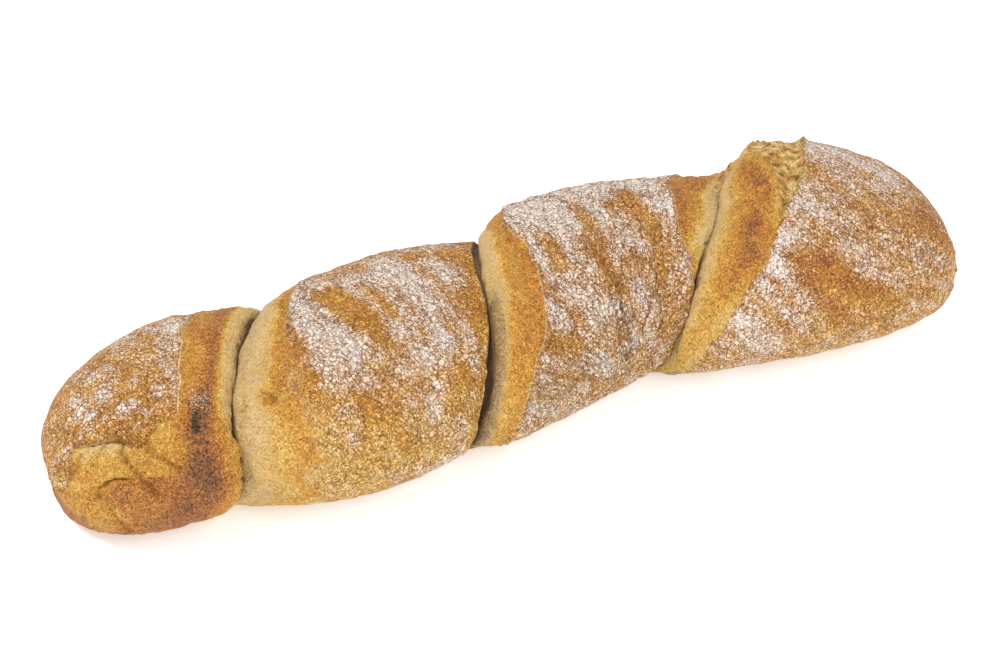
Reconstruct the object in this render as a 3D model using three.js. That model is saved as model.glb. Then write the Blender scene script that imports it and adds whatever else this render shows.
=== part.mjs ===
// A rustic twisted loaf: one length of dough, turned like a screw and baked as one piece.
// Millimetres. +X runs along the loaf, -Y is the front, +Z is up, and the base lies on z = 0.
// The twist leaves one crease that runs round the loaf like a thread. It shows on top as
// three creases, which part the loaf into four swollen lobes.
import * as THREE from 'three';

// Overall length, from tip to tip.
const NEAR_TIP = -174;
const FAR_TIP = 175;

// Where each crease is along the loaf, at 30, 90, 150, 210, 270 and 330 degrees round the
// section. The angle starts at the middle of the base and goes up the front, over the top
// and down the back.
const CREASES = [
  [-120, -113.5, -109.5, -90, -71, -52],
  [-31, -25, -13, -1, 15, 32],
  [46, 57, 75, 104, 121, 134],
];
const FIRST_KNOT = 30;
const KNOT_STEP = 60;

// Half width of each lobe at its near edge, its middle and its far edge.
const LOBES = [
  [42.5, 42.5, 40.5],
  [40.5, 47, 40.5],
  [49, 43.5, 40],
  [52.5, 46.5, 40],
];

// How far the middle line sways to the back, at even steps from tip to tip.
const SWAY = [-3, 3, -2, 4, 14, 4, -5];

// The section: height to half width, the share of the height below its widest line, how
// square it is, and how far past the base its lower half would reach if it weren't flat.
const HEIGHT_RATIO = 1.3;
const WAIST = 0.43;
const SQUARENESS = 2.3;
const SETTLE = 1.12;

// The two round ends: their length and how blunt they are above and below the widest line.
const NEAR_END = { length: 65, blunt: 2.3, foot: 5 };
const FAR_END = { length: 76, blunt: 3.7, foot: 4.2 };

// The creases: how deep each is at the same angles as above, the tight crust lip on its near
// side, the gentle shoulder on its far side, and where it fades out on the base, in degrees.
const CREASE_DEPTHS = [
  [12, 8, 5, 4, 6, 9],
  [13, 10, 5.5, 4, 7, 10],
  [12, 9, 5.5, 5, 6.5, 9],
];
const LIP = { length: 9, blunt: 1.9 };
const SHOULDER = { length: 21, blunt: 1.6 };
const FADE_START = 8;
const FADE_LENGTH = 30;

// Mesh: rings along each lobe and points round each ring.
const RINGS = [11, 12, 12, 13];
const POINTS = 52;

const clamp = (value) => Math.min(1, Math.max(0, value));
const mix = (a, b, share) => a + (b - a) * share;
const smooth = (share) => clamp(share) ** 2 * (3 - 2 * clamp(share));
const signedPower = (value, power) => Math.sign(value) * Math.abs(value) ** power;

// A smooth curve through evenly spaced values, read at a position counted in steps.
function curveThrough(values, position) {
  const last = values.length - 1;
  const step = Math.min(Math.max(Math.floor(position), 0), last - 1);
  const part = position - step;
  const [from, to] = [values[step], values[step + 1]];
  const before = step > 0 ? values[step - 1] : 2 * from - to;
  const after = step + 1 < last ? values[step + 2] : 2 * to - from;
  const bend = 2 * before - 5 * from + 4 * to - after + part * (3 * (from - to) + after - before);
  return from + 0.5 * part * (to - before + part * bend);
}

// Where a crease is at an angle round the section. Below, it goes straight back to its start.
function creaseAt(crease, angle) {
  const end = FIRST_KNOT + KNOT_STEP * (crease.length - 1);
  if (angle >= FIRST_KNOT && angle <= end) {
    return curveThrough(crease, (angle - FIRST_KNOT) / KNOT_STEP);
  }
  const across = angle > end ? angle - end : angle + 360 - end;
  return mix(crease.at(-1), crease[0], smooth(across / (360 - end + FIRST_KNOT)));
}

// A round end or edge, from 0 at a tip or a crease to 1 where it meets the full section.
function roundEnd(distance, length, blunt) {
  return (1 - (1 - clamp(distance / length)) ** blunt) ** (1 / blunt);
}

// Half width at a crease: halfway between the two lobes that meet there, less its depth.
function creaseRadius(index, angle) {
  const fromBase = Math.min(angle, 360 - angle);
  const depth = curveThrough(CREASE_DEPTHS[index], (angle - FIRST_KNOT) / KNOT_STEP)
    * smooth((fromBase - FADE_START) / FADE_LENGTH);
  return 0.5 * (LOBES[index][2] + LOBES[index + 1][0]) - depth;
}

// Half width on a lobe, along from 0 to 1 between its edges, which are at the x given.
function halfWidth(lobe, angle, along, nearEdge, farEdge) {
  const [near, middle, far] = LOBES[lobe];
  const x = mix(nearEdge, farEdge, along);
  const belly = near * (1 - along) * (1 - 2 * along) + middle * 4 * along * (1 - along)
    + far * along * (2 * along - 1);
  const nearDrop = lobe > 0 ? near - creaseRadius(lobe - 1, angle) : 0;
  const farDrop = lobe < LOBES.length - 1 ? far - creaseRadius(lobe, angle) : 0;
  return belly - nearDrop * (1 - roundEnd(x - nearEdge, SHOULDER.length, SHOULDER.blunt))
    - farDrop * (1 - roundEnd(farEdge - x, LIP.length, LIP.blunt));
}

// A point of the crust: a squarish section, swollen by the lobe and closed by the two ends.
function crustPoint(lobe, angle, along) {
  const nearEdge = lobe > 0 ? creaseAt(CREASES[lobe - 1], angle) : NEAR_TIP;
  const farEdge = lobe < CREASES.length ? creaseAt(CREASES[lobe], angle) : FAR_TIP;
  const x = mix(nearEdge, farEdge, along);
  const radius = halfWidth(lobe, angle, along, nearEdge, farEdge);
  const closing = roundEnd(x - NEAR_TIP, NEAR_END.length, NEAR_END.blunt)
    * roundEnd(FAR_TIP - x, FAR_END.length, FAR_END.blunt);
  const footing = roundEnd(x - NEAR_TIP, NEAR_END.length, NEAR_END.foot)
    * roundEnd(FAR_TIP - x, FAR_END.length, FAR_END.foot);

  const turn = THREE.MathUtils.degToRad(angle);
  const side = signedPower(-Math.sin(turn), 2 / SQUARENESS);
  const rise = signedPower(-Math.cos(turn), 2 / SQUARENESS);
  const height = HEIGHT_RATIO * radius;
  const sway = curveThrough(SWAY, (SWAY.length - 1) * (x - NEAR_TIP) / (FAR_TIP - NEAR_TIP));
  const reach = rise > 0 ? (1 - WAIST) * closing : WAIST * SETTLE * footing;
  const z = height * (WAIST + reach * rise);
  return new THREE.Vector3(x, sway + radius * side * closing, Math.max(z, 0));
}

// The rings of the crust from tip to tip, closer together towards the creases. Both tips are
// single points, so the first and the last ring are left out here.
function crustRings() {
  const rings = [];
  RINGS.forEach((count, lobe) => {
    const start = lobe === 0 ? 1 : 0;
    for (let ring = start; ring < count; ring += 1) {
      const along = 0.5 * (1 - Math.cos(Math.PI * ring / count));
      rings.push(Array.from({ length: POINTS }, (_, point) => (
        crustPoint(lobe, 360 * point / POINTS, along))));
    }
  });
  return rings;
}

// One closed skin over the rings, with a fan of triangles at each tip.
function crustGeometry() {
  const rings = crustRings();
  const nearTip = crustPoint(0, 0, 0);
  const farTip = crustPoint(LOBES.length - 1, 0, 1);
  const vertices = [...rings.flat(), nearTip, farTip];
  const nearIndex = vertices.length - 2;
  const farIndex = vertices.length - 1;
  const lastRing = (rings.length - 1) * POINTS;
  const faces = [];
  for (let point = 0; point < POINTS; point += 1) {
    const next = (point + 1) % POINTS;
    faces.push(nearIndex, point, next);
    faces.push(farIndex, lastRing + next, lastRing + point);
    for (let start = 0; start < lastRing; start += POINTS) {
      const [a, b] = [start + point, start + next];
      faces.push(a, a + POINTS, b + POINTS, a, b + POINTS, b);
    }
  }
  const geometry = new THREE.BufferGeometry().setFromPoints(vertices);
  geometry.setIndex(faces);
  return geometry;
}

// The origin is under the middle of the loaf, on the surface that it rests on.
function standOnOrigin(geometry) {
  geometry.computeBoundingBox();
  const { min, max } = geometry.boundingBox;
  geometry.translate(-(min.x + max.x) / 2, -(min.y + max.y) / 2, -min.z);
  geometry.computeVertexNormals();
  return geometry;
}

const crust = new THREE.MeshStandardMaterial({ color: 0xc48f54, roughness: 0.85, metalness: 0 });
const loaf = new THREE.Mesh(standOnOrigin(crustGeometry()), crust);
loaf.name = 'loaf';

const twistedLoaf = new THREE.Group();
twistedLoaf.add(loaf);

export default twistedLoaf;
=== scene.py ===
import itertools

import bpy
import numpy as np
from mathutils import Matrix, Vector


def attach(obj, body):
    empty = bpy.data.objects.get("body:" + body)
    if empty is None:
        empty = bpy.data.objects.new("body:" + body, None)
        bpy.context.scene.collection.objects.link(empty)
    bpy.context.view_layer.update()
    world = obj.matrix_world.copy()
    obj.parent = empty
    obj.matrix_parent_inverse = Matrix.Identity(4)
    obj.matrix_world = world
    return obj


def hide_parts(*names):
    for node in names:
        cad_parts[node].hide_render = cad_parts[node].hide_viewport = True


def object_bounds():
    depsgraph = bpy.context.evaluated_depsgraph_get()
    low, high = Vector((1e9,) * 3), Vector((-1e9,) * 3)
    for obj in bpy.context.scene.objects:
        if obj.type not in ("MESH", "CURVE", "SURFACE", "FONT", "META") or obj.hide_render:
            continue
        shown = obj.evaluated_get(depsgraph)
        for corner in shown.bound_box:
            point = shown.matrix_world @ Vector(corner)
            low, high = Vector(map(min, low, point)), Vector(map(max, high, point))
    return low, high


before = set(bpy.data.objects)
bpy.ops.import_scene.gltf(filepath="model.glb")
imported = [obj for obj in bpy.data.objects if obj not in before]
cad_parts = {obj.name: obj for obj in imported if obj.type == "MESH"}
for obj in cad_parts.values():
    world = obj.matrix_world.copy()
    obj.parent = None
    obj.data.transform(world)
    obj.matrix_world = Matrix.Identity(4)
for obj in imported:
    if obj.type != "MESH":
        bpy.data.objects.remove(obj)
cad_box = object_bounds()


# ---------------------------------------------------------------- camera, floor and light
# A plain pale floor under soft studio light, and a camera that looks down on the loaf from the
# front and a little from its near end. The camera stands over a point near the loaf's middle.
CAMERA_AZIMUTH = np.radians(-22.1)
CAMERA_ELEVATION = np.radians(42)
CAMERA_DISTANCE = 1.15
CAMERA_AIM = Vector((-0.0028, -0.007, 0.0291))
CAMERA_LENS = 113.9
FLOOR_SIZE = 6.0
FLOOR_GLOW = 0.42
FLOOR_COLOUR = (0.93, 0.93, 0.93, 1)
SKY_COLOUR = (1.0, 0.99, 0.975, 1)
SKY_STRENGTH = 0.62


def put_camera():
    """The camera looks along its own -Z, so that axis is turned towards the point it aims at."""
    back = Vector((
        np.sin(CAMERA_AZIMUTH) * np.cos(CAMERA_ELEVATION),
        -np.cos(CAMERA_AZIMUTH) * np.cos(CAMERA_ELEVATION),
        np.sin(CAMERA_ELEVATION),
    ))
    camera = bpy.data.objects.new("camera", bpy.data.cameras.new("camera"))
    camera.data.lens = CAMERA_LENS
    camera.data.clip_start = 0.05
    camera.data.clip_end = 50
    place = Matrix.Translation(CAMERA_AIM + back * CAMERA_DISTANCE)
    camera.matrix_world = place @ back.to_track_quat("Z", "Y").to_matrix().to_4x4()
    bpy.context.collection.objects.link(camera)
    bpy.context.scene.camera = camera


def put_softbox(name, place, size, power):
    """A square area light that faces the middle of the loaf."""
    light = bpy.data.lights.new(name, "AREA")
    light.size = size
    light.energy = power
    softbox = bpy.data.objects.new(name, light)
    turn = Vector(place).to_track_quat("Z", "Y").to_matrix().to_4x4()
    softbox.matrix_world = Matrix.Translation(place) @ turn
    bpy.context.collection.objects.link(softbox)


def put_floor():
    """A wide flat sheet just under the loaf."""
    half = FLOOR_SIZE / 2
    mesh = bpy.data.meshes.new("floor")
    corners = [(-half, -half, 0), (half, -half, 0), (half, half, 0), (-half, half, 0)]
    mesh.from_pydata(corners, [], [(0, 1, 2, 3)])
    floor = bpy.data.objects.new("floor", mesh)
    paint = bpy.data.materials.new("floor_paint")
    paint.use_nodes = True
    shader = paint.node_tree.nodes["Principled BSDF"]
    shader.inputs["Base Color"].default_value = FLOOR_COLOUR
    shader.inputs["Roughness"].default_value = 0.9
    shader.inputs["Emission Color"].default_value = FLOOR_COLOUR
    shader.inputs["Emission Strength"].default_value = FLOOR_GLOW
    mesh.materials.append(paint)
    bpy.context.collection.objects.link(floor)


def light_sky():
    """Even pale light from all round."""
    world = bpy.data.worlds.new("studio")
    world.use_nodes = True
    background = world.node_tree.nodes["Background"]
    background.inputs["Color"].default_value = SKY_COLOUR
    background.inputs["Strength"].default_value = SKY_STRENGTH
    bpy.context.scene.world = world


put_camera()
put_floor()
light_sky()
put_softbox("key_light", (-0.75, 0.1, 1.3), 0.5, 16)
put_softbox("fill_light", (0.7, -1.1, 1.1), 1.2, 15)
bpy.context.scene.view_settings.view_transform = "Standard"


# ---------------------------------------------------------------- form of the loaf
# One length of dough, turned like a screw and baked on a stone. The twist left one crease that
# runs round the loaf like a thread, and the dough rose between its turns into four lobes.
MM = 0.001  # the crust is worked out in millimetres
NEAR_TIP = -174
FAR_TIP = 175
KNOT_ANGLES = (30, 90, 150, 210, 270, 330)  # from the middle of the base, up the front
KNOT_STEP = 60
CREASES = (
    # x of each crease at the knot angles
    (-120, -113.5, -109.5, -90, -71, -52),
    (-31, -25, -13, -1, 15, 32),
    (46, 57, 75, 104, 121, 134),
)
CREASE_DEPTHS = (
    # depth of each crease at the knot angles
    (12, 8, 5, 4, 6, 9),
    (13, 10, 5.5, 4, 7, 10),
    (12, 9, 5.5, 5, 6.5, 9),
)
FADE_START = 8  # degrees from the middle of the base, where the creases set in
FADE_LENGTH = 30
LOBES = np.array((
    # half width of each lobe at its near edge, its middle and its far edge
    (42.5, 42.5, 40.5),
    (40.5, 47.0, 40.5),
    (49.0, 43.5, 40.0),
    (52.5, 46.5, 40.0),
))
SWAY = (-3, 3, -2, 4, 14, 4, -5)  # of the middle line to the back, at even steps
HEIGHT_RATIO = 1.3  # height to half width
WAIST = 0.43  # share of the height below the widest line
SQUARENESS = 2.3
SETTLE = 1.12  # how far the lower half would reach below the widest line if it weren't cut flat
NEAR_END = {"length": 65, "blunt": 2.3, "foot": 5}
FAR_END = {"length": 76, "blunt": 3.7, "foot": 4.2}
LIPS = (7, 6, 11)  # length of the crust lip on the near side of each crease
LIP_BLUNT = (2, 2, 1.6)
SHOULDER = 21  # length of the gentle shoulder on the far side of each crease
SHOULDER_BLUNT = (1.7, 1.6, 1.5)
SLIT_DEPTH = 3.5
SLIT_WIDTH = 0.7
SLIT_EASE = (0.9, 0.85, 0.85)  # how much shallower each slit is on top
ROWS = (76, 80, 80, 74)
BASE_COLUMNS = 15
SIDE_COLUMNS = 303
BASE_HALF_ANGLE = 21
GIRTH = 0.85  # millimetres of crust to a degree round the loaf


def ease(share):
    """Rises from 0 to 1 with a level start and end: 3 s squared less 2 s cubed."""
    s = np.clip(share, 0, 1)
    return s * s * (3 - 2 * s)


def hump(offset, width):
    """1 where the offset is 0 and less on both sides: exp of minus (offset / width) squared."""
    return np.exp(-((offset / width) ** 2))


def curve_through(values, position):
    """A smooth curve through evenly spaced values, read at a position counted in steps: each
    span is a cubic whose slope at a value is half the difference of its neighbours."""
    v = np.asarray(values, float)
    v = np.concatenate(([2 * v[0] - v[1]], v, [2 * v[-1] - v[-2]]))
    step = np.clip(np.floor(position).astype(int), 0, len(v) - 4)
    part = position - step
    a, b, c, d = v[step], v[step + 1], v[step + 2], v[step + 3]
    bend = 2 * a - 5 * b + 4 * c - d + part * (3 * (b - c) + d - a)
    return b + 0.5 * part * (c - a + part * bend)


def crease_at(crease, angle):
    """x of a crease: a curve through its knots, and a straight way back across the base."""
    first, last = KNOT_ANGLES[0], KNOT_ANGLES[-1]
    turn = curve_through(crease, (angle - first) / KNOT_STEP)
    across = np.where(angle > 180, angle - last, angle + 360 - last) / (360 - last + first)
    back = crease[-1] + (crease[0] - crease[-1]) * ease(across)
    return np.where((angle >= first) & (angle <= last), turn, back)


def round_end(distance, length, blunt):
    """A quarter of a superellipse, from 0 at the tip to 1 at the full section: with d for the
    distance over the length and b for blunt, 1 - (1 - d) to the b, to the 1 / b."""
    return (1 - (1 - np.clip(distance / length, 0, 1)) ** blunt) ** (1 / blunt)


def signed_power(value, power):
    """The size of the value to a power, with the value's own sign."""
    return np.sign(value) * np.abs(value) ** power


def crust_angles():
    """Angles of the columns: a few across the base and many over the sides and the top."""
    base = np.linspace(-BASE_HALF_ANGLE, BASE_HALF_ANGLE, BASE_COLUMNS, endpoint=False)
    side = np.linspace(BASE_HALF_ANGLE, 360 - BASE_HALF_ANGLE, SIDE_COLUMNS, endpoint=False)
    return np.sort(np.concatenate([base, side]) % 360)


def lobe_shares(lobe):
    """How far along its lobe each row is: closer together at the creases and much closer at
    the two tips, where the rings shrink to a point."""
    even = np.linspace(0, 1, ROWS[lobe] + 1)
    crowded = 0.5 * (1 - np.cos(np.pi * even))
    tip = {0: 1 - ease(even), len(LOBES) - 1: ease(even)}.get(lobe, 0)
    weight = 0.5 + 0.5 * tip
    return crowded * weight + even * (1 - weight)


class Crust:
    """The grid that every mark on the crust is worked out on. Rows go from tip to tip and
    columns round the loaf. x runs along the loaf. The angle goes round it in degrees, from the
    middle of the base up the front, over the top and down the back. near and far are the
    distances along x to the two creases, or tips, that the row lies between."""

    def __init__(self):
        self.angle = crust_angles()[None, :]
        edges = [np.full_like(self.angle, NEAR_TIP)]
        edges += [crease_at(crease, self.angle) for crease in CREASES]
        edges += [np.full_like(self.angle, FAR_TIP)]
        shares, lobes = [], []
        for lobe in range(len(LOBES)):
            share = lobe_shares(lobe)[0 if lobe == 0 else 1:]
            shares.append(share)
            lobes.append(np.full(len(share), lobe))
        self.along = np.concatenate(shares)[:, None]
        self.lobe = np.concatenate(lobes)
        edges = np.concatenate(edges)
        self.near = self.along * (edges[self.lobe + 1] - edges[self.lobe])
        self.far = (1 - self.along) * (edges[self.lobe + 1] - edges[self.lobe])
        self.x = edges[self.lobe] + self.near
        self.angle = np.broadcast_to(self.angle, self.x.shape)
        self.girth = self.angle * GIRTH
        self.from_base = np.minimum(self.angle, 360 - self.angle)

    def in_lobe(self, number):
        """1 on the lobe of that number, counted from 1 at the near tip, and 0 elsewhere."""
        return (self.lobe == number - 1)[:, None].astype(float)

    def by_lobe(self, *values):
        """A value for each of the four lobes, from the near tip to the far one."""
        return np.array(values)[self.lobe][:, None]


def half_width(crust):
    """A parabola through the three sizes of each lobe, less the drop into the crease at each of
    its ends, which a round end shapes, and less a narrow slit along the crease itself."""
    near_size, middle, far_size = (LOBES[crust.lobe][:, [i]] for i in range(3))
    t = crust.along
    width = near_size * (1 - t) * (1 - 2 * t) + middle * 4 * t * (1 - t)
    width = width + far_size * t * (2 * t - 1)
    fade = ease((crust.from_base - FADE_START) / FADE_LENGTH)
    for index, depths in enumerate(CREASE_DEPTHS):
        before = crust.in_lobe(index + 1)
        after = crust.in_lobe(index + 2)
        depth = fade * curve_through(depths, (crust.angle - KNOT_ANGLES[0]) / KNOT_STEP)
        here = 0.5 * (LOBES[index, 2] + LOBES[index + 1, 0])
        shoulder = round_end(crust.near, SHOULDER, SHOULDER_BLUNT[index])
        width = width - after * (LOBES[index + 1, 0] - here + depth) * (1 - shoulder)
        lip = round_end(crust.far, LIPS[index], LIP_BLUNT[index])
        width = width - before * (LOBES[index, 2] - here + depth) * (1 - lip)
        gap = np.where(after > 0, crust.near, 99)
        gap = np.where(before > 0, crust.far, gap)
        top = SLIT_EASE[index] * hump(crust.angle - 175, 38)
        width = width - SLIT_DEPTH * (1 - top) * fade * hump(gap, SLIT_WIDTH)
    return width


def crust_surface(crust):
    """Places of the grid's points. Across the loaf: the sway plus the half width times the
    sine of the angle to the power 2 / SQUARENESS. Upwards: the height times WAIST, plus its
    share above or below the waist times the cosine to the same power. The round ends close
    both, and what would reach below the base is cut flat later."""
    width = half_width(crust)
    x = crust.x
    closing = footing = 1
    for distance, end in ((x - NEAR_TIP, NEAR_END), (FAR_TIP - x, FAR_END)):
        closing = closing * round_end(distance, end["length"], end["blunt"])
        footing = footing * round_end(distance, end["length"], end["foot"])
    turn = np.radians(crust.angle)
    side = signed_power(-np.sin(turn), 2 / SQUARENESS)
    rise = signed_power(-np.cos(turn), 2 / SQUARENESS)
    sway = curve_through(SWAY, (len(SWAY) - 1) * (x - NEAR_TIP) / (FAR_TIP - NEAR_TIP))
    reach = np.where(rise > 0, (1 - WAIST) * closing, WAIST * SETTLE * footing)
    height = HEIGHT_RATIO * width * (WAIST + reach * rise)
    return np.stack([x, sway + width * side * closing, height], -1)


def outward(points):
    """Unit normals of a grid of points that closes on itself round the loaf: the cross product
    of the steps along the two grid directions."""
    along = np.gradient(points, axis=0)
    round_it = np.roll(points, -1, 1) - np.roll(points, 1, 1)
    normal = np.cross(along, round_it)
    return normal / np.maximum(np.linalg.norm(normal, axis=-1, keepdims=True), 1e-9)


# ---------------------------------------------------------------- marks on the crust
# The floured skin of the dough tore at each crease, and the bare dough under it browned.
# Flour lies in streaks round the lobes. Folds, blisters, a burnt spot and a torn ear of crumb
# mark the crust where the dough was pinched, puffed up or burst.
def soft_noise(points, size, seed):
    """Smooth random values between -1 and 1: a random number at each corner of a lattice of
    the given size, blended between the corners."""
    table = np.random.default_rng(seed).uniform(-1, 1, 4096)
    cell = points / size
    corner = np.floor(cell).astype(np.int64)
    part = cell - corner
    part = part * part * (3 - 2 * part)
    total = np.zeros(points.shape[:-1])
    for offset in itertools.product((0, 1), repeat=3):
        place = corner + np.array(offset)
        key = place[..., 0] * 73856093 ^ place[..., 1] * 19349663 ^ place[..., 2] * 83492791
        share = np.where(np.array(offset) == 1, part, 1 - part).prod(-1)
        total += table[key & 4095] * share
    return total


def bump_at(crust, x, angle, radius, stretch=1.0):
    """A round bump, 1 in the middle: exp of minus the squared distance over the radius."""
    across = (crust.x - x) / radius
    around = (crust.angle - angle) * GIRTH / (radius * stretch)
    return np.exp(-(across ** 2) - around ** 2)


def distance_to(crust, path):
    """Distance in millimetres, over the unrolled crust, to a path of (x, angle) points."""
    nearest = np.full(crust.x.shape, 1e3)
    for (x0, a0), (x1, a1) in zip(path, path[1:]):
        step_x, step_g = x1 - x0, (a1 - a0) * GIRTH
        dx, dg = crust.x - x0, (crust.angle - a0) * GIRTH
        share = np.clip((dx * step_x + dg * step_g) / (step_x ** 2 + step_g ** 2), 0, 1)
        nearest = np.minimum(nearest, np.hypot(dx - share * step_x, dg - share * step_g))
    return nearest


def by_angle(crust, *stops):
    """A value that goes in straight steps from one (angle, value) stop to the next."""
    angles, values = zip(*stops)
    return np.interp(crust.angle, angles, values)


def bare_widths(crust):
    """Width of the bare band along the near and the far edge of the lobes that have one."""
    near = {
        2: by_angle(crust, (60, 26), (110, 26), (130, 25), (150, 21.5), (170, 19), (194, 17),
                    (240, 18), (300, 14)),
        3: by_angle(crust, (80, 13), (100, 15), (122, 17), (134, 20), (154, 20.5), (172, 21),
                    (184, 19), (190, 16), (207, 13), (300, 12)),
        4: by_angle(crust, (60, 8), (90, 10), (111, 14), (122, 17), (134, 22), (150, 23.5),
                    (160, 25), (172, 28), (183, 31), (196, 30), (230, 27), (300, 12)),
    }
    far = {
        1: by_angle(crust, (147, 20), (200, 21), (300, 15)),
        3: by_angle(crust, (60, -3), (132, 1), (150, 4), (158, 8), (170, 13), (186, 17),
                    (210, 23), (250, 20), (300, 8)),
    }
    return near, far


# The fold on the near lobe: (x, angle) points of the edge where the skin ends.
FOLD = ((-173, 90), (-171, 112), (-169, 134), (-168, 143), (-166.5, 155), (-165, 160),
        (-163, 158), (-159, 154), (-156, 153), (-151, 150), (-149, 142), (-145, 140),
        (-141, 145), (-138, 148), (-134, 149), (-129, 148), (-125, 152))


def skin_distance(crust):
    """How far inside the floured skin a point is, in millimetres, and less than 0 on bare
    dough. On the near lobe the skin also ends at the fold, below which all is bare."""
    near, far = bare_widths(crust)
    inside = np.full(crust.x.shape, 30.0)
    for lobe, width in near.items():
        inside = np.where(crust.in_lobe(lobe) > 0, np.minimum(inside, crust.near - width), inside)
    for lobe, width in far.items():
        inside = np.where(crust.in_lobe(lobe) > 0, np.minimum(inside, crust.far - width), inside)
    fold_x, fold_angle = zip(*FOLD)
    above = (crust.angle - np.interp(crust.x, fold_x, fold_angle)) * GIRTH * 0.9
    inside = np.where(crust.in_lobe(1) > 0, np.minimum(inside, above), inside)
    gentle = crust.in_lobe(2) * by_angle(crust, (140, 0.9), (165, 0.6), (190, 0))
    return inside * (1 - gentle)


def ear_distance(crust):
    """How far inside the torn ear a point is: a strip of the far lobe between the bare band
    and the skin, which tapers down the front and round the back."""
    start = by_angle(crust, (120, 28), (150, 25), (158, 24.5), (168, 23.5), (178, 22), (186, 19),
                     (195, 14), (202, 10), (215, 9), (235, 12), (255, 20), (270, 26), (285, 30))
    end = bare_widths(crust)[0][4]
    inside = np.minimum(crust.near - start, end - crust.near)
    return np.where(crust.in_lobe(4) > 0, inside, -30)


FAN = {"x": 36, "angle": 70, "reach": 90, "least": 0.22}


def flow_across(crust):
    """Distance across the streaks, which run round the loaf where the dough was stretched: x
    plus a lean times the angle. On the third lobe they fan out from a point low in front, where
    it is the distance from the point's x over a spread that grows with the angle."""
    straight = crust.x + crust.by_lobe(0.2, 0.25, 0.0, 0.5) * (crust.angle - 150)
    spread = np.maximum((crust.angle - FAN["angle"]) / FAN["reach"], FAN["least"])
    fan = (crust.x - FAN["x"]) / spread
    return np.where(crust.in_lobe(3) > 0, fan, straight)


def drawn_out(crust, across, factor):
    """Places for noise that is drawn out round the loaf: the smaller the factor, the longer."""
    return np.stack([across, crust.girth * factor, np.zeros(crust.x.shape)], -1)


crust = Crust()
points = crust_surface(crust)
skin = skin_distance(crust)
ear = ear_distance(crust)
across = flow_across(crust)
skin = skin + 0.9 * soft_noise(points, 7, 1) * (skin < 20)  # its torn edge wanders a little

GROOVES = (
    # depth, width and the points (x, angle) that the groove runs through
    (1.7, 0.9, ((-165, 159), (-163, 157), (-159, 153), (-156, 152), (-151, 149))),
    (1.8, 1.0, ((-152, 149), (-149, 146), (-146, 141))),
    (0.9, 1.0, ((-145, 140), (-141, 145), (-138, 148))),
    (0.5, 1.0, ((-172, 150), (-171, 136), (-170, 124))),
    (0.9, 1.1, ((-165, 150), (-167, 141), (-169, 132))),
    (1.6, 0.85, ((-150, 148), (-152, 141), (-151, 132), (-149, 123), (-147, 114), (-143, 102))),
    (1.3, 1.0, ((-143, 142), (-142, 134), (-138, 126), (-134, 117))),
    (1.3, 0.9, ((-163, 102), (-162, 114), (-159, 120), (-156, 121), (-152, 119))),
    (0.8, 0.8, ((-159, 118), (-161, 106), (-160, 94), (-157, 80), (-154, 66))),
    (0.9, 0.8, ((-148, 150), (-145, 156), (-143, 160))),
    (0.9, 0.8, ((-150, 150), (-154, 158), (-157, 162))),
    (0.7, 0.7, ((-146, 146), (-142, 150), (-138, 155))),
    (0.7, 0.7, ((-154, 151), (-158, 148), (-160, 142))),
    (0.6, 0.7, ((-147, 132), (-144, 126), (-141, 122))),
    (0.5, 0.6, ((-148, 122), (-144, 116), (-141, 114))),
    (0.7, 0.8, ((-155, 171), (-151, 170), (-147, 170))),
    (0.7, 0.8, ((-139, 158), (-136, 166), (-137, 174))),
    (0.8, 0.8, ((-79, 207), (-79, 186), (-81, 177), (-84, 168))),
    (1.0, 0.8, ((-68, 213), (-71, 197), (-69, 183), (-65, 176))),
    (0.6, 0.8, ((-57, 178), (-53, 172))),
    (1.0, 0.6, ((36, 84), (36, 92), (34, 108), (35, 126), (35, 141), (37, 156), (39, 172),
                (40, 180))),
    (0.8, 0.6, ((37, 96), (38, 108), (38, 123), (38, 138), (39, 150))),
    (0.9, 0.6, ((37, 93), (39, 118), (44, 136), (49, 152), (51, 162))),
    (0.9, 0.6, ((37, 92), (42, 108), (49, 126), (57, 146))),
    (0.8, 0.6, ((50, 108), (52, 116), (54, 136), (58, 159), (63, 177))),
    (0.8, 0.7, ((54, 196), (51, 180), (49, 168))),
    (0.6, 0.6, ((44, 196), (45, 182), (46, 170))),
    (0.6, 0.6, ((30, 190), (32, 176), (35, 164))),
    (0.5, 0.6, ((4, 140), (10, 120), (16, 104), (22, 92))),
    (0.9, 0.8, ((126, 151), (124, 148), (123, 144))),
    (0.8, 0.7, ((154, 133), (154, 125))),
)
LUMPS = (
    # x, angle, radius and height
    (-147, 194, 4.6, 1.2), (-153, 194, 3.8, 0.9), (-149, 180, 5.0, 1.0), (-144, 187, 5.0, 0.9),
    (-150, 165, 4.4, 1.8), (-144, 166, 4.0, 1.7), (-142, 152, 3.6, 1.8), (-138, 158, 3.6, 1.2),
    (-160, 163, 4.6, 1.7), (-162, 178, 3.4, 0.8), (-168, 158, 5.0, 0.6), (-157, 172, 3.0, 0.6),
    (-140, 178, 3.4, 0.5), (-134, 168, 3.4, 0.5), (-148, 128, 5.5, 0.8), (-139, 134, 4.0, 0.8),
    (-150, 100, 12.0, 1.2), (-158, 138, 4.0, 0.8), (-168, 86, 7.0, 1.2), (-128, 178, 5.0, 0.5),
    (-124, 100, 8.0, 0.8), (171, 98, 1.6, 0.9),
)
FLOUR_LUMPS = 16  # so many of the lumps, from the first on, are blisters that hold flour
DENTS = (
    # x, angle, radius, stretch round the loaf and depth
    (-163, 143, 4.0, 1.6, 0.8), (-154, 146, 3.4, 1.2, 0.6), (-144, 136, 3.0, 1.2, 0.8),
    (-124, 144, 4.5, 1.6, 0.8), (-96.5, 146, 2.0, 1.7, 3.4), (-94, 151, 1.6, 1.6, 1.0),
    (126, 148, 1.2, 1.0, 1.0),
)
HOLE = {"x": -97, "angle": 146}  # a small hole beside the near crease


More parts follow.
